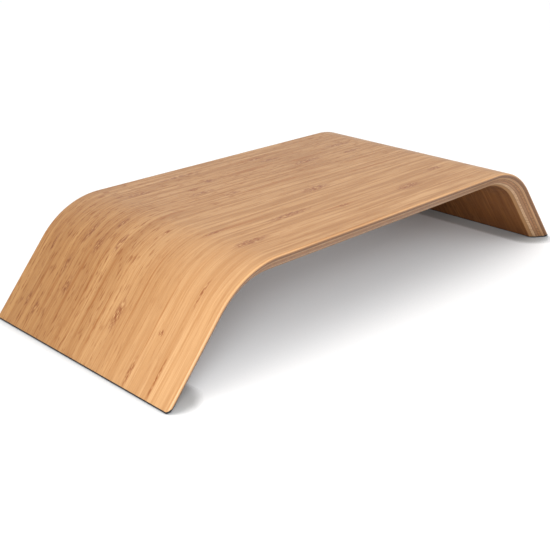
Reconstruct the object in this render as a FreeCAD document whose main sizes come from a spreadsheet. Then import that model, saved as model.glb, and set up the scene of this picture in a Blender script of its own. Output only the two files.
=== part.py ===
"""Monitor riser stand: one bent bamboo laminate standing on two rubber foot strips.

Millimetres, +Z up, +X along the length, +Y to the back. The origin is on the floor,
under the middle of the deck. The laminate is seven plies, each one solid that runs down
one leg, over the deck and down the other leg.
"""

import FreeCAD
import Part
import Sketcher
import os
from math import cos, radians, sin, tan

DRIVING_DIMENSIONS = {
    "deck_height": 93.0,  # floor to the top of the deck
    "panel_depth": 237.0,  # front to back, over the rounded edges
    "flat_length": 303.0,  # flat part of the deck, between the two bends
    "bend_radius": 82.0,  # outer face of each bend
    "leg_angle": 50.0,  # degrees between a leg and the floor
    "ply_thickness": 2.15,
    "edge_radius": 1.8,  # rounding between the outer face and the long edges
    "undercut_angle": 40.0,  # degrees that the long edges lean in, below the rounding
    "bevel_height": 4.1,  # lowest part of the long edges, which leans in more
    "bevel_angle": 50.0,  # degrees that it leans in
    "foot_corner_radius": 2.5,  # lower corners of each leg, seen along X
    "strip_thickness": 1.5,
    "strip_inset": 1.0,  # from each face of the leg to the strip's edge
    "strip_wrap": 1.2,  # height that a strip follows a foot corner upwards
    "trim_length": 600.0,  # longer than the whole stand
    "overrun": 5.0,  # how far a shape that gets trimmed runs past the trimming one
}
PLY_NAMES = [
    "top_face_ply",
    "upper_cross_ply",
    "upper_long_ply",
    "core_cross_ply",
    "lower_long_ply",
    "lower_cross_ply",
    "bottom_face_ply",
]

START, END, CENTRE = 1, 2, 3
HORIZONTAL_AXIS = SKETCH_ORIGIN = -1
VERTICAL_AXIS = -2
UP_FROM_SKETCH = FreeCAD.Vector(0, 0, 1)
CLOSE = 0.01

doc = FreeCAD.newDocument("monitor_riser_stand")
sheet = doc.addObject("Spreadsheet::Sheet", "Sizes")
for row, (alias, value) in enumerate(DRIVING_DIMENSIONS.items(), start=1):
    sheet.set(f"A{row}", alias)
    sheet.set(f"B{row}", str(value))
    sheet.setAlias(f"B{row}", alias)
doc.recompute()

leg_angle = radians(sheet.leg_angle)
undercut_angle = radians(sheet.undercut_angle)
bevel_angle = radians(sheet.bevel_angle)
bend_centre_x = sheet.flat_length / 2
bend_centre_z = sheet.deck_height - sheet.bend_radius
panel_thickness = len(PLY_NAMES) * sheet.ply_thickness
panel_thickness_rule = f"{len(PLY_NAMES)} * Sizes.ply_thickness"


def point(x, y):
    return FreeCAD.Vector(x, y, 0)


def leg_point(face_depth, height):
    """Point of the right leg at a height, face_depth in from its outer face."""
    radius = sheet.bend_radius - face_depth
    bend_end_z = bend_centre_z + radius * cos(leg_angle)
    reach = radius * sin(leg_angle) + (bend_end_z - height) / tan(leg_angle)
    return point(bend_centre_x + reach, height)


def bend_arc(face_depth):
    """Right bend, anticlockwise from the top of the leg to the end of the deck."""
    radius = sheet.bend_radius - face_depth
    circle = Part.Circle(point(bend_centre_x, bend_centre_z), UP_FROM_SKETCH, radius)
    return Part.ArcOfCircle(circle, radians(90) - leg_angle, radians(90))


def new_body(name):
    return doc.addObject("PartDesign::Body", name)


def origin_plane(body, role):
    return next(plane for plane in body.Origin.OriginFeatures if plane.Role == role)


def new_sketch(body, name, role, curves, rules):
    """Sketch on one of the body's own planes, with its curves and geometric constraints."""
    sketch = body.newObject("Sketcher::SketchObject", name)
    sketch.AttachmentSupport = [(origin_plane(body, role), "")]
    sketch.MapMode = "FlatFace"
    sketch.addGeometry(curves, False)
    for rule in rules:
        sketch.addConstraint(Sketcher.Constraint(*rule))
    return sketch


def bound(sketch, name, expression, *rule):
    """Named dimension of a sketch, tied to the sheet."""
    index = sketch.addConstraint(Sketcher.Constraint(*rule))
    sketch.renameConstraint(index, name)
    sketch.setExpression(f"Constraints.{name}", expression)


def pad(body, sketch, length, expression):
    """Pad that reaches half its length to each side of the sketch."""
    feature = body.newObject("PartDesign::Pad", f"{sketch.Name}Pad")
    feature.Profile = sketch
    feature.SideType = "Symmetric"
    feature.Length = length
    feature.setExpression("Length", expression)
    body.Tip = feature
    doc.recompute()
    return feature


def mirror_left(body, feature):
    """Add the left half of a feature that was drawn for the right half only."""
    mirrored = body.newObject("PartDesign::Mirrored", f"{feature.Name}Mirror")
    mirrored.Originals = [feature]
    mirrored.MirrorPlane = (origin_plane(body, "YZ_Plane"), [""])
    mirrored.Refine = True
    body.Tip = mirrored
    doc.recompute()
    return mirrored


def bent_board(name, outer, inner, outer_rule, inner_rule):
    """Body of the bent outline between two depths below the outer face of the panel."""
    outer_bend = bend_arc(outer)
    inner_bend = bend_arc(inner)
    deck_top = sheet.deck_height - outer
    deck_under = sheet.deck_height - inner
    middle, deck, bend, leg, foot_end, leg_inside, bend_inside, deck_inside = range(8)
    curves = [
        Part.LineSegment(point(0, deck_under), point(0, deck_top)),
        Part.LineSegment(point(0, deck_top), outer_bend.EndPoint),
        outer_bend,
        Part.LineSegment(outer_bend.StartPoint, leg_point(outer, 0)),
        Part.LineSegment(leg_point(outer, 0), leg_point(inner, 0)),
        Part.LineSegment(leg_point(inner, 0), inner_bend.StartPoint),
        inner_bend,
        Part.LineSegment(inner_bend.EndPoint, point(0, deck_under)),
    ]
    rules = [
        ("Vertical", middle),
        ("PointOnObject", middle, START, VERTICAL_AXIS),
        ("Horizontal", deck),
        ("Horizontal", foot_end),
        ("PointOnObject", foot_end, START, HORIZONTAL_AXIS),
        ("Horizontal", deck_inside),
        ("Coincident", middle, END, deck, START),
        ("Tangent", deck, END, bend, END),
        ("Tangent", bend, START, leg, START),
        ("Coincident", leg, END, foot_end, START),
        ("Coincident", foot_end, END, leg_inside, START),
        ("Tangent", leg_inside, END, bend_inside, START),
        ("Tangent", bend_inside, END, deck_inside, START),
        ("Coincident", deck_inside, END, middle, START),
        ("Coincident", bend, CENTRE, bend_inside, CENTRE),
        ("Parallel", leg, leg_inside),
    ]
    body = new_body(name)
    sketch = new_sketch(body, f"{name}Outline", "XZ_Plane", curves, rules)
    outer_radius = sheet.bend_radius - outer
    inner_radius = sheet.bend_radius - inner
    bound(sketch, "flat", "Sizes.flat_length / 2", "Distance", deck, bend_centre_x)
    bound(sketch, "level", f"Sizes.deck_height - {outer_rule}",
          "DistanceY", SKETCH_ORIGIN, START, deck, START, deck_top)
    bound(sketch, "outer", f"Sizes.bend_radius - {outer_rule}", "Radius", bend, outer_radius)
    bound(sketch, "inner", f"Sizes.bend_radius - {inner_rule}", "Radius", bend_inside, inner_radius)
    bound(sketch, "slope", "-Sizes.leg_angle * 1 deg", "Angle", leg, -leg_angle)
    mirror_left(body, pad(body, sketch, sheet.panel_depth, "Sizes.panel_depth"))
    return body


def fillet(body, edges, radius, expression):
    """Round some edges of the body's last feature, given by number."""
    rounded = body.Tip
    feature = body.newObject("PartDesign::Fillet", f"{body.Name}Rounding")
    feature.Base = (rounded, [f"Edge{number}" for number in edges])
    feature.Radius = radius
    feature.setExpression("Radius", expression)
    body.Tip = feature
    doc.recompute()


def find_edges(body, wanted):
    """Numbers of the edges whose bounding box passes the test wanted."""
    edges = enumerate(body.Tip.Shape.Edges, start=1)
    return [number for number, edge in edges if wanted(edge.BoundBox)]


def make_path(body):
    """Outer face of the panel's right half, from the middle of the deck to below the floor."""
    outer_bend = bend_arc(0)
    deck, bend, leg = range(3)
    curves = [
        Part.LineSegment(point(0, sheet.deck_height), outer_bend.EndPoint),
        outer_bend,
        Part.LineSegment(outer_bend.StartPoint, leg_point(0, -sheet.overrun)),
    ]
    rules = [
        ("PointOnObject", deck, START, VERTICAL_AXIS),
        ("Horizontal", deck),
        ("Tangent", deck, END, bend, END),
        ("Tangent", bend, START, leg, START),
    ]
    sketch = new_sketch(body, "PanelPath", "XZ_Plane", curves, rules)
    bound(sketch, "flat", "Sizes.flat_length / 2", "Distance", deck, bend_centre_x)
    bound(sketch, "level", "Sizes.deck_height",
          "DistanceY", SKETCH_ORIGIN, START, deck, START, sheet.deck_height)
    bound(sketch, "radius", "Sizes.bend_radius", "Radius", bend, sheet.bend_radius)
    bound(sketch, "slope", "-Sizes.leg_angle * 1 deg", "Angle", leg, -leg_angle)
    bound(sketch, "depth", "Sizes.overrun",
          "DistanceY", leg, END, SKETCH_ORIGIN, START, sheet.overrun)
    return sketch


def make_section(body):
    """Section across the deck: rounded upper corners, then sides that lean in, and bevels."""
    radius = sheet.edge_radius
    top = sheet.deck_height
    low = top - panel_thickness
    mid = low + sheet.bevel_height
    centre = point(sheet.panel_depth / 2 - radius, top - radius)
    circle = Part.Circle(centre, UP_FROM_SKETCH, radius)
    right_corner = Part.ArcOfCircle(circle, -undercut_angle, radians(90))
    circle = Part.Circle(point(-centre.x, centre.y), UP_FROM_SKETCH, radius)
    left_corner = Part.ArcOfCircle(circle, radians(90), radians(180) + undercut_angle)
    right_start = right_corner.StartPoint
    mid_width = right_start.x - (right_start.y - mid) * tan(undercut_angle)
    low_width = mid_width - sheet.bevel_height * tan(bevel_angle)
    (roof, right_rounding, right_side, right_bevel,
     underside, left_bevel, left_side, left_rounding) = range(8)
    curves = [
        Part.LineSegment(left_corner.StartPoint, right_corner.EndPoint),
        right_corner,
        Part.LineSegment(right_start, point(mid_width, mid)),
        Part.LineSegment(point(mid_width, mid), point(low_width, low)),
        Part.LineSegment(point(low_width, low), point(-low_width, low)),
        Part.LineSegment(point(-low_width, low), point(-mid_width, mid)),
        Part.LineSegment(point(-mid_width, mid), left_corner.EndPoint),
        left_corner,
    ]
    rules = [
        ("Tangent", roof, END, right_rounding, END),
        ("Tangent", right_rounding, START, right_side, START),
        ("Coincident", right_side, END, right_bevel, START),
        ("Coincident", right_bevel, END, underside, START),
        ("Coincident", underside, END, left_bevel, START),
        ("Coincident", left_bevel, END, left_side, START),
        ("Tangent", left_side, END, left_rounding, END),
        ("Tangent", left_rounding, START, roof, START),
        ("Equal", right_rounding, left_rounding),
        ("Symmetric", roof, START, roof, END, VERTICAL_AXIS),
        ("Symmetric", underside, START, underside, END, VERTICAL_AXIS),
        ("Symmetric", right_side, END, left_side, START, VERTICAL_AXIS),
    ]
    sketch = new_sketch(body, "PanelSection", "YZ_Plane", curves, rules)
    bound(sketch, "level", "Sizes.deck_height",
          "DistanceY", SKETCH_ORIGIN, START, roof, START, top)
    bound(sketch, "width", "Sizes.panel_depth - 2 * Sizes.edge_radius",
          "Distance", roof, 2 * centre.x)
    bound(sketch, "rounding", "Sizes.edge_radius", "Radius", right_rounding, radius)
    bound(sketch, "thickness", panel_thickness_rule,
          "DistanceY", underside, START, roof, START, panel_thickness)
    bound(sketch, "undercut", "-(90 + Sizes.undercut_angle) * 1 deg",
          "Angle", right_side, -radians(90) - undercut_angle)
    bound(sketch, "bevel", "-(90 + Sizes.bevel_angle) * 1 deg",
          "Angle", right_bevel, -radians(90) - bevel_angle)
    bound(sketch, "bevel_height", "Sizes.bevel_height",
          "DistanceY", right_bevel, END, right_bevel, START, sheet.bevel_height)
    return sketch


def make_panel():
    """The panel as pressed and routed: its section swept along its path, on both sides."""
    body = new_body("Panel")
    path = make_path(body)
    section = make_section(body)
    doc.recompute()
    sweep = body.newObject("PartDesign::AdditivePipe", "PanelSweep")
    sweep.Profile = section
    sweep.Spine = (path, ["Edge1", "Edge2", "Edge3"])
    body.Tip = sweep
    doc.recompute()
    mirror_left(body, sweep)
    return body


def make_side_outline(name, low, low_rule):
    """Slab as deep as the panel, with the rounded lower corners of a foot, from low upwards."""
    half = sheet.panel_depth / 2
    high = sheet.deck_height + sheet.overrun
    corners = [point(-half, low), point(half, low), point(half, high), point(-half, high)]
    floor, back, roof, front = range(4)
    curves = [Part.LineSegment(corners[i], corners[(i + 1) % 4]) for i in range(4)]
    rules = [("Coincident", i, END, (i + 1) % 4, START) for i in range(4)]
    rules += [("Horizontal", floor), ("Vertical", back), ("Vertical", front)]
    rules += [("Symmetric", roof, START, roof, END, VERTICAL_AXIS)]
    body = new_body(name)
    sketch = new_sketch(body, f"{name}Sketch", "YZ_Plane", curves, rules)
    bound(sketch, "depth", "Sizes.panel_depth", "Distance", floor, sheet.panel_depth)
    bound(sketch, "low", low_rule, "DistanceY", SKETCH_ORIGIN, START, floor, START, low)
    bound(sketch, "high", "Sizes.deck_height + Sizes.overrun",
          "DistanceY", SKETCH_ORIGIN, START, roof, START, high)
    pad(body, sketch, sheet.trim_length, "Sizes.trim_length")

    def is_low_corner(box):
        return box.XLength > CLOSE and box.YLength < CLOSE and box.ZMax < low + CLOSE

    radius = sheet.foot_corner_radius
    fillet(body, find_edges(body, is_low_corner), radius, "Sizes.foot_corner_radius")
    return body


def make_foot_sleeve():
    """Lower end of the right leg, down to the floor and a little inside the leg's faces."""
    near = sheet.strip_inset
    far = panel_thickness - sheet.strip_inset
    top = sheet.strip_thickness + sheet.strip_wrap
    corners = [leg_point(near, 0), leg_point(near, top), leg_point(far, top), leg_point(far, 0)]
    outer_side, roof, inner_side, floor = range(4)
    curves = [Part.LineSegment(corners[i], corners[(i + 1) % 4]) for i in range(4)]
    rules = [("Coincident", i, END, (i + 1) % 4, START) for i in range(4)]
    rules += [("Horizontal", floor), ("Horizontal", roof), ("Parallel", outer_side, inner_side)]
    rules += [("PointOnObject", floor, START, HORIZONTAL_AXIS)]
    body = new_body("FootSleeve")
    sketch = new_sketch(body, "FootSleeveSketch", "XZ_Plane", curves, rules)
    sine = "sin(Sizes.leg_angle * 1 deg)"
    tangent = "tan(Sizes.leg_angle * 1 deg)"
    width = f"({panel_thickness_rule} - 2 * Sizes.strip_inset) / {sine}"
    top_rule = "Sizes.strip_thickness + Sizes.strip_wrap"
    slope = "(180 - Sizes.leg_angle) * 1 deg"
    reach = (f"Sizes.flat_length / 2 + (Sizes.bend_radius - Sizes.strip_inset) / {sine}"
             f" + (Sizes.deck_height - Sizes.bend_radius) / {tangent}")
    bound(sketch, "width", width, "Distance", floor, (far - near) / sin(leg_angle))
    bound(sketch, "top", top_rule, "DistanceY", SKETCH_ORIGIN, START, roof, START, top)
    bound(sketch, "slope", slope, "Angle", outer_side, radians(180) - leg_angle)
    bound(sketch, "reach", reach, "DistanceX", SKETCH_ORIGIN, START, floor, END, corners[0].x)
    pad(body, sketch, sheet.panel_depth, "Sizes.panel_depth")
    return body


def boolean(kind, name, base, tool):
    result = doc.addObject(f"Part::{kind}", name)
    result.Base = base
    result.Tool = tool
    return result


def make_plies(panel, side_outline):
    """Seven plies: each is the trimmed panel between two depths below its outer face."""
    trimmed = boolean("Common", "TrimmedPanel", panel, side_outline)
    depths = [count * sheet.ply_thickness for count in range(len(PLY_NAMES) + 1)]
    rules = [f"{count} * Sizes.ply_thickness" for count in range(len(PLY_NAMES) + 1)]
    depths[0] -= sheet.overrun
    rules[0] = "(-Sizes.overrun)"
    depths[-1] += sheet.overrun
    rules[-1] = f"({panel_thickness_rule} + Sizes.overrun)"
    plies = []
    for i, name in enumerate(PLY_NAMES):
        layer = bent_board(f"Layer{i + 1}", depths[i], depths[i + 1], rules[i], rules[i + 1])
        plies.append(boolean("Common", name, trimmed, layer))
    return plies


def make_foot_strips(panel, side_outline):
    """Rubber under each foot, which follows the rounded corners a short way up."""
    lowered = make_side_outline("LoweredOutline", 0, "0")
    skin = boolean("Cut", "RubberSkin", lowered, side_outline)
    wide_strip = boolean("Common", "WideStrip", skin, make_foot_sleeve())
    right = boolean("Common", "right_foot_strip", wide_strip, panel)
    left = doc.addObject("Part::Mirroring", "left_foot_strip")
    left.Source = right
    left.Normal = FreeCAD.Vector(1, 0, 0)
    return [right, left]


def check_document(nodes):
    """Stop if anything in the document failed, or a sub-part isn't one valid solid."""
    for item in doc.Objects:
        if "Invalid" in item.State or "Error" in item.State:
            raise RuntimeError(f"{item.Name} failed: {item.State}")
        if item.TypeId == "Sketcher::SketchObject" and item.solve() != 0:
            raise RuntimeError(f"{item.Name} can't be solved")
    for node in nodes:
        shape = node.Shape
        if shape.isNull() or not shape.isValid() or len(shape.Solids) != 1:
            raise RuntimeError(f"{node.Label} isn't one valid solid")


def write_parts(nodes):
    os.makedirs("parts", exist_ok=True)
    for node in nodes:
        node.Shape.exportStep(f"parts/{node.Label}.step")


def main():
    panel = make_panel()
    side_outline = make_side_outline("SideOutline", sheet.strip_thickness, "Sizes.strip_thickness")
    nodes = make_plies(panel, side_outline) + make_foot_strips(panel, side_outline)
    for node in nodes:
        node.Label = node.Name
        node.Placement = FreeCAD.Placement()
    doc.recompute()
    check_document(nodes)
    write_parts(nodes)


main()
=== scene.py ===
"""Looks of the monitor riser stand: a bent bamboo laminate on two rubber foot strips.

Metres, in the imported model's frame: +X along the length, +Y to the back, +Z up. Grain and
marks are laid out on the unrolled board, in millimetres: along it from the middle of the
deck, across it to the back, and down into it from its outer face.
"""

import math

import bmesh
import bpy
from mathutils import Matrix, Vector


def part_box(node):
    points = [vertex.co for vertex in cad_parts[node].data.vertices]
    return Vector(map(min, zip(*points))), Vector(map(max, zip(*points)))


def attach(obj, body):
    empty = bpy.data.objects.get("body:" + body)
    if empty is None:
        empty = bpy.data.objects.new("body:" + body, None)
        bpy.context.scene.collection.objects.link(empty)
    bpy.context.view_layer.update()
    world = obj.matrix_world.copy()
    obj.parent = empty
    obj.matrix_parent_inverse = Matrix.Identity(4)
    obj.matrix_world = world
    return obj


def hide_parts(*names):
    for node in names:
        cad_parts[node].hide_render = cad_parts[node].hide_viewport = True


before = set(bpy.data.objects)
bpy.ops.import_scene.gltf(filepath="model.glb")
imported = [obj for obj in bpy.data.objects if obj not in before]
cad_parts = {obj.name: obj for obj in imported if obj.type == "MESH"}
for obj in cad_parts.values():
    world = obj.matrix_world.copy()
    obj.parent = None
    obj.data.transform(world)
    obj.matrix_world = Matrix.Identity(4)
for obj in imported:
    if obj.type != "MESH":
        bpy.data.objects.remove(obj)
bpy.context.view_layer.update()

# The plies from the outer face to the inner one, each with its material slot.
PLY_SLOTS = {
    "top_face_ply": "bamboo_face",
    "upper_cross_ply": "bamboo_cross",
    "upper_long_ply": "bamboo_long",
    "core_cross_ply": "bamboo_cross",
    "lower_long_ply": "bamboo_long",
    "lower_cross_ply": "bamboo_cross",
    "bottom_face_ply": "bamboo_face",
}
PLIES = list(PLY_SLOTS)
FOOT_STRIPS = ["left_foot_strip", "right_foot_strip"]

PLY_THICKNESS = 0.00215
PANEL_THICKNESS = len(PLIES) * PLY_THICKNESS
BEND_RADIUS = 0.082  # outer face
LEG_ANGLE = math.radians(50)
EDGE_RADIUS = 0.0018  # rounding between the outer face and the long edges
UNDERCUT = math.radians(40)  # lean of the long edges, below the rounding
BEVEL_HEIGHT = 0.0041  # lowest part of the long edges, which leans in more
BEVEL = math.radians(50)  # lean of that part
CORNER_RADIUS = 0.0025  # lower corners of each leg
QUARTER_TURN = math.radians(90)
SHARP_ANGLE = math.radians(32)  # a fold sharper than this is a true edge
MM = 1000  # millimetres in a metre

ARC_STEPS = 14  # of the edge's rounding
FLAT_STEPS = 8  # of half the deck
BEND_STEPS = 48
LEG_STEPS = 6
CORNER_STEPS = 8

face_low, face_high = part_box("top_face_ply")
DECK_HEIGHT = face_high.z
FOOT_LEVEL = face_low.z
HALF_DEPTH = face_high.y
BEND_CENTRE_Z = DECK_HEIGHT - BEND_RADIUS
BEND_END_Z = BEND_CENTRE_Z + BEND_RADIUS * math.cos(LEG_ANGLE)
BEND_LENGTH = BEND_RADIUS * LEG_ANGLE
LEG_REACH = BEND_RADIUS * math.sin(LEG_ANGLE) + (BEND_END_Z - FOOT_LEVEL) / math.tan(LEG_ANGLE)
HALF_FLAT = face_high.x - LEG_REACH


# ---------------------------------------------------------------- board geometry

def board_point(along, depth):
    """Place in the XZ plane of a point of the unrolled board."""
    side = 1 if along >= 0 else -1
    run = abs(along)
    radius = BEND_RADIUS - depth
    if run <= HALF_FLAT:
        return along, DECK_HEIGHT - depth
    turn = min((run - HALF_FLAT) / BEND_RADIUS, LEG_ANGLE)
    down = max(run - HALF_FLAT - BEND_LENGTH, 0)
    x = HALF_FLAT + radius * math.sin(turn) + down * math.cos(LEG_ANGLE)
    z = BEND_CENTRE_Z + radius * math.cos(turn) - down * math.sin(LEG_ANGLE)
    return side * x, z


def along_at_height(depth, height):
    """How far along the board its leg reaches a height, at a depth below the outer face."""
    bend_end_z = BEND_CENTRE_Z + (BEND_RADIUS - depth) * math.cos(LEG_ANGLE)
    return HALF_FLAT + BEND_LENGTH + (bend_end_z - height) / math.sin(LEG_ANGLE)


def side_inset(depth):
    """How far the long edge stands in from the board's side: an arc, then two slopes."""
    arc_depth = EDGE_RADIUS * (1 + math.sin(UNDERCUT))
    if depth < arc_depth:
        return EDGE_RADIUS - math.sqrt(EDGE_RADIUS ** 2 - (EDGE_RADIUS - depth) ** 2)
    arc_inset = EDGE_RADIUS * (1 - math.cos(UNDERCUT))
    bevel_start = PANEL_THICKNESS - BEVEL_HEIGHT
    down_slope = min(depth, bevel_start) - arc_depth
    down_bevel = max(depth - bevel_start, 0)
    return arc_inset + down_slope * math.tan(UNDERCUT) + down_bevel * math.tan(BEVEL)


def edge_depths(outer, inner):
    """Depths of the rows of points down a ply's long edge, between its two faces."""
    sweep = QUARTER_TURN + UNDERCUT
    angles = [QUARTER_TURN - sweep * i / ARC_STEPS for i in range(ARC_STEPS + 1)]
    rows = [EDGE_RADIUS * (1 - math.sin(angle)) for angle in angles]
    rows.append(PANEL_THICKNESS - BEVEL_HEIGHT)
    return [outer] + [depth for depth in rows if outer < depth < inner] + [inner]


def half_outline(depth):
    """The right half's outline at a depth, from the deck's middle: along, half width."""
    width = HALF_DEPTH - side_inset(depth)
    bend_end = HALF_FLAT + BEND_LENGTH
    leg = along_at_height(depth, FOOT_LEVEL + CORNER_RADIUS) - bend_end
    points = [(HALF_FLAT * i / FLAT_STEPS, width) for i in range(FLAT_STEPS)]
    points += [(HALF_FLAT + BEND_LENGTH * i / BEND_STEPS, width) for i in range(BEND_STEPS)]
    points += [(bend_end + leg * i / LEG_STEPS, width) for i in range(LEG_STEPS)]
    for i in range(CORNER_STEPS + 1):
        angle = QUARTER_TURN * i / CORNER_STEPS
        height = FOOT_LEVEL + CORNER_RADIUS * (1 - math.sin(angle))
        corner = HALF_DEPTH - CORNER_RADIUS * (1 - math.cos(angle))
        points.append((along_at_height(depth, height), min(width, corner)))
    return points


def add_row(mesh, unrolled, depth):
    """Front and back points of the whole board at one depth, left foot to right foot."""
    right = half_outline(depth)
    row = []
    for along, half in [(-along, half) for along, half in reversed(right[1:])] + right:
        x, z = board_point(along, depth)
        pair = [mesh.verts.new((x, y, z)) for y in (-half, half)]
        for vert in pair:
            vert[unrolled] = (along * MM, vert.co.y * MM, depth * MM)
        row.append(pair)
    return row


def link_mesh(name, mesh):
    """Object of a finished mesh, smooth but for its true edges."""
    data = bpy.data.meshes.new(name)
    mesh.to_mesh(data)
    mesh.free()
    data.shade_smooth()
    data.set_sharp_from_angle(angle=SHARP_ANGLE)
    piece = bpy.data.objects.new(name, data)
    bpy.context.scene.collection.objects.link(piece)
    return piece


def make_ply(name, outer, inner):
    """One ply as a closed mesh, with each point's place on the unrolled board stored on it."""
    mesh = bmesh.new()
    unrolled = mesh.verts.layers.float_vector.new("unrolled")
    rows = [add_row(mesh, unrolled, depth) for depth in edge_depths(outer, inner)]
    top, bottom = rows[0], rows[-1]
    for k in range(len(top) - 1):
        mesh.faces.new((top[k][0], top[k + 1][0], top[k + 1][1], top[k][1]))
        mesh.faces.new((bottom[k][1], bottom[k + 1][1], bottom[k + 1][0], bottom[k][0]))
    for upper, lower in zip(rows[:-1], rows[1:]):
        for k in range(len(upper) - 1):
            mesh.faces.new((upper[k + 1][0], upper[k][0], lower[k][0], lower[k + 1][0]))
            mesh.faces.new((upper[k][1], upper[k + 1][1], lower[k + 1][1], lower[k][1]))
        mesh.faces.new((upper[-1][1], upper[-1][0], lower[-1][0], lower[-1][1]))
        mesh.faces.new((upper[0][0], upper[0][1], lower[0][1], lower[0][0]))
    return link_mesh(name, mesh)


# ---------------------------------------------------------------- material building

DISPLAY_GAMMA = 2.2

# Sockets of a Mix node in its colour mode. Its other modes have sockets of the same names.
MIX_FACTOR, MIX_FIRST, MIX_SECOND, MIX_RESULT = 0, 6, 7, 2


def display(red, green, blue):
    """Linear colour of a display colour given in 0 to 255."""
    return [(value / 255) ** DISPLAY_GAMMA for value in (red, green, blue)] + [1]


class Shader:
    """One material's nodes. Inputs are sockets or plain values."""

    def __init__(self, name):
        self.material = bpy.data.materials.new(name)
        self.material.use_nodes = True
        self.tree = self.material.node_tree
        self.surface = self.tree.nodes["Principled BSDF"]

    def feed(self, socket, value):
        """Link a socket to another, or give it a value."""
        if isinstance(value, bpy.types.NodeSocket):
            self.tree.links.new(value, socket)
        else:
            socket.default_value = value

    def add(self, kind, inputs, output=0, **settings):
        """One of the outputs of a new node."""
        node = self.tree.nodes.new(kind)
        for key, value in settings.items():
            setattr(node, key, value)
        for key, value in inputs.items():
            self.feed(node.inputs[key], value)
        return node.outputs[output]

    def math(self, operation, first, second=0.0):
        return self.add("ShaderNodeMath", {0: first, 1: second}, operation=operation)

    def vector(self, operation, first, second, output="Vector"):
        inputs = {0: first, 1: second}
        return self.add("ShaderNodeVectorMath", inputs, output, operation=operation)

    def step(self, value, start, end, low=0.0, high=1.0):
        """Smooth change from low to high while the value goes from start to end."""
        inputs = {
            "Value": value,
            "From Min": start,
            "From Max": end,
            "To Min": low,
            "To Max": high,
        }
        return self.add("ShaderNodeMapRange", inputs, interpolation_type="SMOOTHSTEP")

    def noise(self, place, detail=2.0, roughness=0.5):
        """Cloudy pattern, 0 to 1, one unit of the place across each cloud."""
        inputs = {"Vector": place, "Scale": 1.0, "Detail": detail, "Roughness": roughness}
        return self.add("ShaderNodeTexNoise", inputs)

    def hashed(self, value):
        """A value from 0 to 1 that looks random, and is the same for the same input."""
        return self.add("ShaderNodeTexWhiteNoise", {"W": value}, noise_dimensions="1D")

    def mix(self, factor, first, second, blend="MIX"):
        """Colour mixed from two: all of the first where the factor is 0."""
        node = self.tree.nodes.new("ShaderNodeMix")
        node.data_type = "RGBA"
        node.blend_type = blend
        self.feed(node.inputs[MIX_FACTOR], factor)
        self.feed(node.inputs[MIX_FIRST], first)
        self.feed(node.inputs[MIX_SECOND], second)
        return node.outputs[MIX_RESULT]

    def lay(self, colour, over, amount, share):
        """A colour with another laid over it, by an amount from 0 to 1 times a share."""
        return self.mix(self.math("MULTIPLY", amount, share), colour, over)

    def bump(self, height, distance):
        """Normal of a surface that stands out by the distance where the height is 1."""
        inputs = {"Height": height, "Distance": distance, "Strength": 1.0}
        return self.add("ShaderNodeBump", inputs)

    def set(self, **values):
        """Values of the surface's sockets: Base_Color for Base Color."""
        for key, value in values.items():
            self.feed(self.surface.inputs[key.replace("_", " ")], value)


class Board:
    """Place on the unrolled board, in millimetres, as sockets of one shader."""

    def __init__(self, shader, shift):
        self.shader = shader
        stored = shader.add("ShaderNodeAttribute", {}, "Vector", attribute_name="unrolled")
        self.place = shader.vector("ADD", stored, shift)
        split = shader.tree.nodes.new("ShaderNodeSeparateXYZ")
        shader.feed(split.inputs[0], self.place)
        self.along, self.across, self.depth = split.outputs

    def grain(self, length, width, thickness, detail=2.0, roughness=0.5):
        """Noise drawn out along the board: the length, width and thickness of its clouds."""
        place = self.shader.vector("DIVIDE", self.place, (length, width, thickness))
        return self.shader.noise(place, detail, roughness)


# ---------------------------------------------------------------- bamboo faces

STRIP_WIDTH = 5.5  # of the bamboo strips side by side in a face ply
STRIP_WANDER = 9.0  # how far the joints between the strips stray sideways
THROUGH = 90  # thickness of a face's clouds: all the way through the board
LACQUER_IOR = 1.48

# The figure of a face ply, in layers. Of each: length and width of its clouds, detail and
# roughness of their noise, and the noise's values between which the layer fades in.
FIGURE = {
    "broad": (200, 17, 1.0, 0.50, 0.36, 0.66),
    "bands": (130, 4.2, 2.0, 0.60, 0.42, 0.60),
    "streaks": (80, 1.8, 2.0, 0.55, 0.44, 0.66),
    "fibres": (34, 0.85, 2.0, 0.50, 0.34, 0.68),
    "flecks": (12, 2.0, 2.0, 0.50, 0.53, 0.70),
    "crowding": (90, 34, 1.0, 0.50, 0.40, 0.62),
}

# Where the figure changes, along or across the board, from the first place to the second.
LEG_TO_DECK = (-190, -130)
# Painted shade: the cut edge's dark colour is laid on more strongly from here on, where the edge
# faces away from the light.
CUT_SHADE_LEG_TO_DECK = (-230, -150)
TOWARDS_BACK_FLECKS = (-30, 60)
TOWARDS_BACK_STREAKS = (-70, 40)
# The back of the left leg, where flecks crowd and painted shade darkens the wood.
LEG_BACK_ALONG = (-120, -200)
LEG_BACK_ACROSS = (-110, 100)

# How strongly each thing is laid over the wood, 0 to 1, where it is the same everywhere.
BROAD_SHARE = 0.35
FIBRE_SHARE = 0.34
CROWDED_FLECK_SHARE = 0.45
MOST_FLECK_SHARE = 0.75
DARK_BAND_SHARE = 0.72
SPLIT_SHARE = 0.80
SHINE_SHARE = 0.45
RIM_HIGHLIGHT_SHARE = 0.2

# Distances from a spot, in its own half sizes, between which the spot fades in.
DARK_BAND_RIM = (1.75, 0.75)
MARK_RIM = (1.9, 0.5)
FRAY = 1.4  # how much the fibres push a dark band's rim inwards

# Noise values between which the dark splits and the bright splinters of a mark come in.
SPLITS = (0.40, 0.56)
SHINES = (0.40, 0.28)

RIM_HIGHLIGHT_DEPTHS = (0.05, 0.5)  # the painted highlight on the rounding of the long edges comes in between these depths
# Darker, more golden wood at the back of the left leg, together with painted shade of the light
# falling off there.
LEG_BACK_TONE_AND_SHADE = (0.79, 0.72, 0.55, 1)  # multiplies the wood's colour
FIBRE_RELIEF = -0.00003  # metres, below the surface

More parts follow.
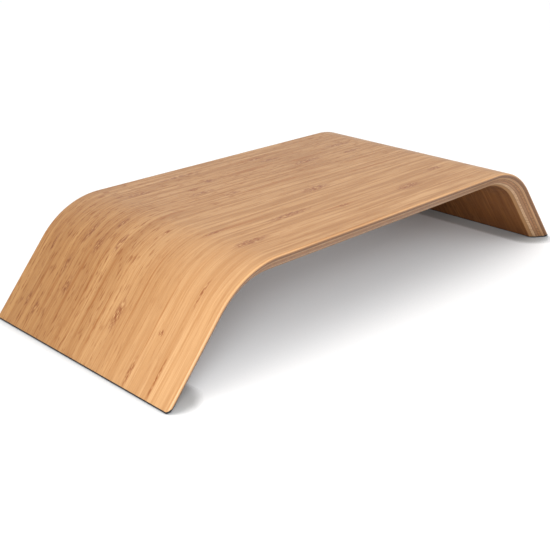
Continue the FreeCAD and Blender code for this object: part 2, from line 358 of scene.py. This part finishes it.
# Growth marks of the outer face: along, across, half length and half width of each.
MARKS = [
    (-278, 92, 6, 1.8),
    (-282, 78, 6, 1.6),
    (-236, 68, 8, 1.8),
    (-224, 98, 8, 1.0),
    (-252, 54, 7, 2.2),
    (-200, 63, 8, 2.2),
    (-210, 44, 6, 2.6),
    (-182, 40, 6, 2.0),
    (-200, 22, 8, 2.0),
    (-256, -20, 10, 3.2),
    (-174, -10, 4, 1.0),
    (-291, -63, 9, 1.5),
    (-254, -74, 2, 2.4),
    (-288, -92, 14, 0.7),
    (-214, -92, 10, 0.9),
    (-132, 80, 9, 1.6),
    (-72, 97, 16, 1.4),
    (-60, 66, 4, 2.6),
    (-88, 56, 4, 2.0),
    (-88, 43, 8, 1.8),
    (-72, 22, 5, 1.4),
    (-76, -57, 14, 2.4),
    (-146, -81, 10, 2.6),
    (-152, -45, 10, 1.4),
    (23, 90, 5, 1.4),
    (33, 78, 8, 1.6),
    (57, 48, 12, 2.4),
    (119, 42, 8, 1.8),
    (129, 68, 10, 1.6),
    (-5, -21, 10, 3.0),
    (129, -60, 7, 1.8),
    (63, -78, 9, 3.0),
    (-23, -73, 3, 1.4),
]

# Darker bands of the outer face: along, across, half length and half width of each.
BANDS = [
    (-20, 17, 75, 2.2),
    (110, 17, 60, 1.4),
    (-245, 14, 75, 1.2),
    (-155, 15, 25, 2.4),
    (-10, 66, 55, 3.4),
    (60, 58, 50, 2.2),
    (-130, -45, 50, 2.2),
    (-30, -72, 30, 1.6),
    (-245, -65, 65, 0.9),
    (-285, -92, 30, 1.0),
    (-230, -34, 60, 1.2),
    (90, -10, 60, 1.8),
    (20, 92, 70, 2.2),
    (-255, 88, 40, 1.6),
    (-265, 70, 45, 1.8),
    (-250, 48, 55, 1.8),
    (-240, 30, 60, 1.4),
    (-270, -2, 50, 1.2),
]

SPOTS_ON_DECK_FROM = -150  # along
SPOT_THICKNESS = 1000  # so far past the board's that a spot is the same at any depth
BEYOND_SPOTS = 3.0  # distance, in a spot's half sizes, past which no spot matters

# How much larger than listed the spots are drawn, in length and in width.
MARK_GROWTH = {"leg": (1.0, 1.0), "deck": (1.35, 1.35)}
BAND_GROWTH = {"leg": (1.0, 1.2), "deck": (1.0, 1.6)}

LACQUERED = {
    # The cut colour is the edge's own darker tone, also used as painted shade of the edge.
    "cut": display(104, 70, 42),
    "light": display(222, 184, 138),
    "pale": display(193, 150, 104),
    "soft": display(180, 135, 89),
    "deep": display(154, 108, 64),
    "red": display(146, 90, 38),
    "dark": display(130, 72, 20),
    "mark": display(120, 60, 12),
}
# Darker copy of the face's palette for the underside and the legs' inner faces: painted shade.
PAINTED_SHADE_UNDERSIDE = {
    "cut": display(138, 104, 72),
    "pale": display(130, 86, 46),
    "soft": display(112, 72, 38),
    "deep": display(98, 60, 30),
    "red": display(94, 49, 20),
    "dark": display(70, 38, 16),
}


def nearest(board, spots, growth):
    """Distance to the nearest of some long spots: 0 in its middle, 1 at its rim."""
    shader = board.shader
    closest = BEYOND_SPOTS
    for along, across, half_length, half_width in spots:
        longer, wider = growth["deck" if along > SPOTS_ON_DECK_FROM else "leg"]
        offset = shader.vector("SUBTRACT", board.place, (along, across, 0))
        size = (half_length * longer, half_width * wider, SPOT_THICKNESS)
        scaled = shader.vector("DIVIDE", offset, size)
        distance = shader.vector("LENGTH", scaled, (0, 0, 0), "Value")
        closest = shader.math("MINIMUM", distance, closest)
    return closest


def figure_layer(board, name):
    """How strongly a layer of the figure shows, 0 to 1."""
    length, width, detail, roughness, start, end = FIGURE[name]
    clouds = board.grain(length, width, THROUGH, detail, roughness)
    return board.shader.step(clouds, start, end)


def strip_tones(board):
    """One tone from 0 to 1 for each bamboo strip."""
    shader = board.shader
    wander = shader.math("MULTIPLY", board.grain(500, 14, THROUGH), STRIP_WANDER)
    wandered = shader.math("ADD", board.across, wander)
    return shader.hashed(shader.math("FLOOR", shader.math("DIVIDE", wandered, STRIP_WIDTH)))


def leg_back_flecks_and_shade(board):
    """1 at the back of the left leg, fading out towards the front and over the bend: where
    flecks crowd, and where painted shade darkens the wood as the light falls off.
    """
    shader = board.shader
    on_leg = shader.step(board.along, *LEG_BACK_ALONG)
    at_back = shader.step(board.across, *LEG_BACK_ACROSS)
    return shader.math("MULTIPLY", on_leg, at_back)


def add_growth(board, colour, palette):
    """The colour with the outer face's darker bands and growth marks laid over it."""
    shader = board.shader
    frayed = shader.math("MULTIPLY", board.grain(30, 1.1, THROUGH), FRAY)
    off_band = shader.math("ADD", nearest(board, BANDS, BAND_GROWTH), frayed)
    band = shader.step(off_band, *DARK_BAND_RIM)
    colour = shader.lay(colour, palette["red"], band, DARK_BAND_SHARE)
    grown = shader.step(nearest(board, MARKS, MARK_GROWTH), *MARK_RIM)
    splinters = board.grain(5, 1.0, THROUGH, detail=1.0)
    split = shader.math("MULTIPLY", grown, shader.step(splinters, *SPLITS))
    shine = shader.math("MULTIPLY", grown, shader.step(splinters, *SHINES))
    colour = shader.lay(colour, palette["mark"], split, SPLIT_SHARE)
    return shader.lay(colour, palette["light"], shine, SHINE_SHARE)


def make_bamboo_face(name, palette, shift, marked, gloss, cut_from, cut_to):
    """Lacquered strips of bamboo, with their fibres, streaks, flecks and growth marks.

    The shift moves the pattern, so that the two faces differ. The ply's cut long edge has
    its own darker colour, which comes in between two depths; it is laid on more strongly on the
    deck and right bend as painted shade.
    """
    shader = Shader(name)
    board = Board(shader, shift)
    layers = {layer: figure_layer(board, layer) for layer in FIGURE}
    flecks_and_shade = leg_back_flecks_and_shade(board)

    deck = shader.step(board.along, *LEG_TO_DECK)
    back = shader.step(board.across, *TOWARDS_BACK_FLECKS, 0.25, 1.0)
    crowded = shader.math("MULTIPLY", shader.math("ADD", layers["crowding"], deck), back)
    crowded_share = shader.math("MULTIPLY", crowded, CROWDED_FLECK_SHARE)
    fleck_share = shader.math("ADD", crowded_share, flecks_and_shade)
    fleck_share = shader.math("MINIMUM", fleck_share, MOST_FLECK_SHARE)
    streak_share = shader.step(board.across, *TOWARDS_BACK_STREAKS, 0.26, 0.50)
    band_share = shader.step(board.along, *LEG_TO_DECK, 0.22, 0.88)

    colour = shader.mix(strip_tones(board), palette["pale"], palette["soft"])
    colour = shader.lay(colour, palette["deep"], layers["broad"], BROAD_SHARE)
    colour = shader.lay(colour, palette["deep"], layers["bands"], band_share)
    colour = shader.lay(colour, palette["red"], layers["streaks"], streak_share)
    colour = shader.lay(colour, palette["deep"], layers["fibres"], FIBRE_SHARE)
    colour = shader.lay(colour, palette["dark"], layers["flecks"], fleck_share)
    if marked:
        colour = add_growth(board, colour, palette)
    # Painted shade: the back of the left leg darkened where the light falls off, along with its
    # darker wood.
    colour = shader.mix(flecks_and_shade, colour, LEG_BACK_TONE_AND_SHADE, "MULTIPLY")
    if marked:
        # Painted highlight on the rounding of the long edges.
        rim_highlight = shader.step(board.depth, *RIM_HIGHLIGHT_DEPTHS, 0.0, RIM_HIGHLIGHT_SHARE)
        colour = shader.mix(rim_highlight, colour, palette["light"])
    # The cut edge's own darker colour, with painted shade where the edge turns away from the
    # light.
    cut = shader.step(board.depth, cut_from, cut_to)
    cut_and_shade_share = shader.step(board.along, *CUT_SHADE_LEG_TO_DECK, 0.35, 0.85)
    colour = shader.lay(colour, palette["cut"], cut, cut_and_shade_share)

    relief = shader.math("ADD", layers["fibres"], layers["flecks"])
    roughness = shader.step(relief, 0.0, 2.0, 0.38, 0.46)
    shader.set(Base_Color=colour, Roughness=roughness)
    shader.set(IOR=LACQUER_IOR, Specular_IOR_Level=gloss)
    shader.set(Normal=shader.bump(relief, FIBRE_RELIEF))
    return shader.material


# ---------------------------------------------------------------- cut edges and rubber

PATTERN_SHIFT = 37.0  # along, from one ply's pattern to the next one's
CUT_RELIEF = -0.00001  # metres, below the surface
GLUE_START = 0.35  # how far from a glue line its darkening starts
GLUE_FULL = 0.08  # how far from a glue line its darkening is full
CROSS_GLUE_SHARE = 0.75
LONG_GLUE_SHARE = 0.7
FIBRE_LEAN = 0.9  # along, for each millimetre of depth
STROKE_SIZE = (1.1, 40, 3.2)  # along, across and down
PORE_SIZE = (0.5, 40, 0.5)

GLUE = display(78, 50, 30)
PORE = display(84, 54, 34)
PATCH = display(150, 100, 62)
RUBBER = display(34, 34, 37)
RUBBER_DUST = display(52, 51, 52)

# The paler and the darker colour of each inner ply's cut edge.
EDGE_COLOURS = {
    "upper_cross_ply": (display(112, 75, 43), display(90, 58, 31)),
    "upper_long_ply": (display(156, 120, 84), display(130, 96, 64)),
    "core_cross_ply": (display(142, 101, 66), display(112, 76, 46)),
    "lower_long_ply": (display(140, 103, 71), display(114, 80, 53)),
    "lower_cross_ply": (display(172, 139, 106), display(148, 115, 84)),
}


def glue_line(board, number):
    """1 on the thin glue lines above and below the ply of this number, 0 between them."""
    shader = board.shader
    middle = (number + 0.5) * PLY_THICKNESS * MM
    off_middle = shader.math("ABSOLUTE", shader.math("SUBTRACT", board.depth, middle))
    half = PLY_THICKNESS * MM / 2
    return shader.step(off_middle, half - GLUE_START, half - GLUE_FULL)


def make_bamboo_cross(name, number, pale, dark):
    """Cut edge of a ply laid front to back: short slanted ends of its fibres."""
    shader = Shader(name)
    board = Board(shader, (number * PATTERN_SHIFT, 0.0, 0.0))
    lean = shader.math("MULTIPLY", board.depth, FIBRE_LEAN)
    leaning = shader.math("ADD", board.along, lean)
    place = shader.add("ShaderNodeCombineXYZ", {0: leaning, 1: board.across, 2: board.depth})
    strokes = shader.noise(shader.vector("DIVIDE", place, STROKE_SIZE), detail=1.0)
    pores = shader.noise(shader.vector("DIVIDE", place, PORE_SIZE), detail=1.0)
    hatch = shader.step(strokes, 0.38, 0.62)
    colour = shader.mix(hatch, pale, dark)
    colour = shader.mix(shader.step(pores, 0.55, 0.75, 0.0, 0.35), colour, PORE)
    colour = shader.lay(colour, GLUE, glue_line(board, number), CROSS_GLUE_SHARE)
    shader.set(Base_Color=colour, Roughness=0.5, IOR=LACQUER_IOR)
    shader.set(Normal=shader.bump(hatch, CUT_RELIEF))
    return shader.material


def make_bamboo_long(name, number, pale, dark):
    """Cut edge of a ply laid along the board: thin lines along it."""
    shader = Shader(name)
    board = Board(shader, (number * PATTERN_SHIFT, 0.0, 0.0))
    lines = shader.step(board.grain(40, 40, 0.35), 0.35, 0.65)
    patches = board.grain(14, 40, 2.0)
    colour = shader.mix(lines, pale, dark)
    colour = shader.mix(shader.step(patches, 0.45, 0.75, 0.0, 0.4), colour, PATCH)
    colour = shader.lay(colour, GLUE, glue_line(board, number), LONG_GLUE_SHARE)
    shader.set(Base_Color=colour, Roughness=0.46, IOR=LACQUER_IOR)
    shader.set(Normal=shader.bump(lines, FIBRE_RELIEF))
    return shader.material


def make_foot_rubber(name):
    """Matt black rubber with a fine pebbled grain."""
    pebbles_per_metre = 2500
    smears_per_metre = 120
    pebble_height = 0.0001
    shader = Shader(name)
    place = shader.add("ShaderNodeTexCoord", {}, "Object")
    pebbles = shader.noise(shader.vector("MULTIPLY", place, (pebbles_per_metre,) * 3))
    smears = shader.noise(shader.vector("MULTIPLY", place, (smears_per_metre,) * 3), detail=3.0)
    dust = shader.step(smears, 0.35, 0.75, 0.0, 0.6)
    shader.set(Base_Color=shader.mix(dust, RUBBER, RUBBER_DUST), Roughness=0.72)
    shader.set(Normal=shader.bump(pebbles, pebble_height))
    return shader.material


def make_ply_material(name, number):
    """The material of the ply of this name and number, counted from the outer face."""
    slot = PLY_SLOTS[name]
    if name == "top_face_ply":
        return make_bamboo_face(slot + "_top", LACQUERED, shift=(0.0, 0.0, 0.0), marked=True,
                                gloss=0.45, cut_from=0.6, cut_to=1.6)
    if name == "bottom_face_ply":
        return make_bamboo_face(slot + "_bottom", PAINTED_SHADE_UNDERSIDE, shift=(431.0, 57.0, 0.0),
                                marked=False, gloss=0.12, cut_from=15.03, cut_to=14.8)
    make = make_bamboo_cross if slot == "bamboo_cross" else make_bamboo_long
    return make(name, number, *EDGE_COLOURS[name])


# ---------------------------------------------------------------- pieces

for number, node in enumerate(PLIES):
    outer = number * PLY_THICKNESS
    inner = (number + 1) * PLY_THICKNESS
    piece = make_ply("bamboo_" + node, outer, inner)
    piece.data.materials.append(make_ply_material(node, number))
    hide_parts(node)
    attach(piece, "root")

rubber = make_foot_rubber("foot_rubber")
for node in FOOT_STRIPS:
    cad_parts[node].data.materials.clear()
    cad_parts[node].data.materials.append(rubber)


# ---------------------------------------------------------------- camera, floor and light

CAMERA_PLACE = (-0.6445, -0.6044, 0.3642)
CAMERA_TURN = (67.449, -0.064, -45.136)  # degrees
CAMERA_LENS = 63.24  # millimetres
SENSOR_WIDTH = 36  # millimetres
NEAREST_SEEN = 0.01

# The floor's colour in the open, in painted shadow under the object, and in painted contact
# shadow close to where it stands.
PAPER = display(240, 240, 240)
SHADED_PAPER = display(218, 222, 225)
CONTACT_SHADOW_PAPER = display(165, 167, 168)

# How far away the painted shadows reach from the object, in those two ways.
UNDER_REACH = 0.25
CONTACT_REACH = 0.018


def add_camera():
    """The main view: from the front left, a little above the deck."""
    data = bpy.data.cameras.new("camera")
    data.sensor_width = SENSOR_WIDTH
    data.lens = CAMERA_LENS
    data.clip_start = NEAREST_SEEN
    camera = bpy.data.objects.new("camera", data)
    camera.location = CAMERA_PLACE
    camera.rotation_euler = [math.radians(angle) for angle in CAMERA_TURN]
    bpy.context.scene.collection.objects.link(camera)
    bpy.context.scene.camera = camera


def openness(shader, reach):
    """1 where nothing stands over the floor within reach, less where something does."""
    return shader.add("ShaderNodeAmbientOcclusion", {"Distance": reach}, "AO", samples=8)


def make_floor(half_side):
    """Pale paper floor, with painted shadow under the object and close to its feet."""
    corners = [(-1, -1), (1, -1), (1, 1), (-1, 1)]
    data = bpy.data.meshes.new("floor")
    data.from_pydata([(x * half_side, y * half_side, 0) for x, y in corners], [], [(0, 1, 2, 3)])
    floor = bpy.data.objects.new("floor", data)
    bpy.context.scene.collection.objects.link(floor)
    shader = Shader("floor")
    # Painted shadows from occlusion: a contact shadow by the feet and a broad shadow under the
    # object.
    contact_shadow = shader.step(openness(shader, CONTACT_REACH), 1.0, 0.72)
    under_shadow = shader.step(openness(shader, UNDER_REACH), 0.85, 0.25)
    colour = shader.mix(under_shadow, PAPER, SHADED_PAPER)
    colour = shader.mix(contact_shadow, colour, CONTACT_SHADOW_PAPER)
    shader.set(Base_Color=colour, Roughness=0.9)
    data.materials.append(shader.material)


def add_softbox(name, place, target, size, power):
    """Square soft light that faces a target. The power is in watts."""
    data = bpy.data.lights.new(name, "AREA")
    data.size = size
    data.energy = power
    light = bpy.data.objects.new(name, data)
    light.location = place
    light.rotation_euler = (Vector(target) - Vector(place)).to_track_quat("-Z", "Y").to_euler()
    bpy.context.scene.collection.objects.link(light)


def make_sky(horizon, zenith):
    """White studio light, stronger from above than from the sides."""
    world = bpy.data.worlds.new("world")
    world.use_nodes = True
    tree = world.node_tree
    place = tree.nodes.new("ShaderNodeTexCoord")
    split = tree.nodes.new("ShaderNodeSeparateXYZ")
    strength = tree.nodes.new("ShaderNodeMapRange")
    strength.inputs["To Min"].default_value = horizon
    strength.inputs["To Max"].default_value = zenith
    background = tree.nodes["Background"]
    background.inputs["Color"].default_value = (1, 1, 1, 1)
    tree.links.new(place.outputs["Generated"], split.inputs[0])
    tree.links.new(split.outputs["Z"], strength.inputs["Value"])
    tree.links.new(strength.outputs[0], background.inputs["Strength"])
    bpy.context.scene.world = world


add_camera()
make_floor(half_side=30.0)
add_softbox("key", place=(-0.83, -0.76, 0.45), target=(-0.15, 0, 0.05), size=0.5, power=11)
add_softbox("fill", place=(0.62, -0.80, 0.22), target=(0.15, -0.05, 0), size=0.8, power=3.2)
make_sky(horizon=0.50, zenith=1.47)
bpy.context.scene.view_settings.view_transform = "Standard"
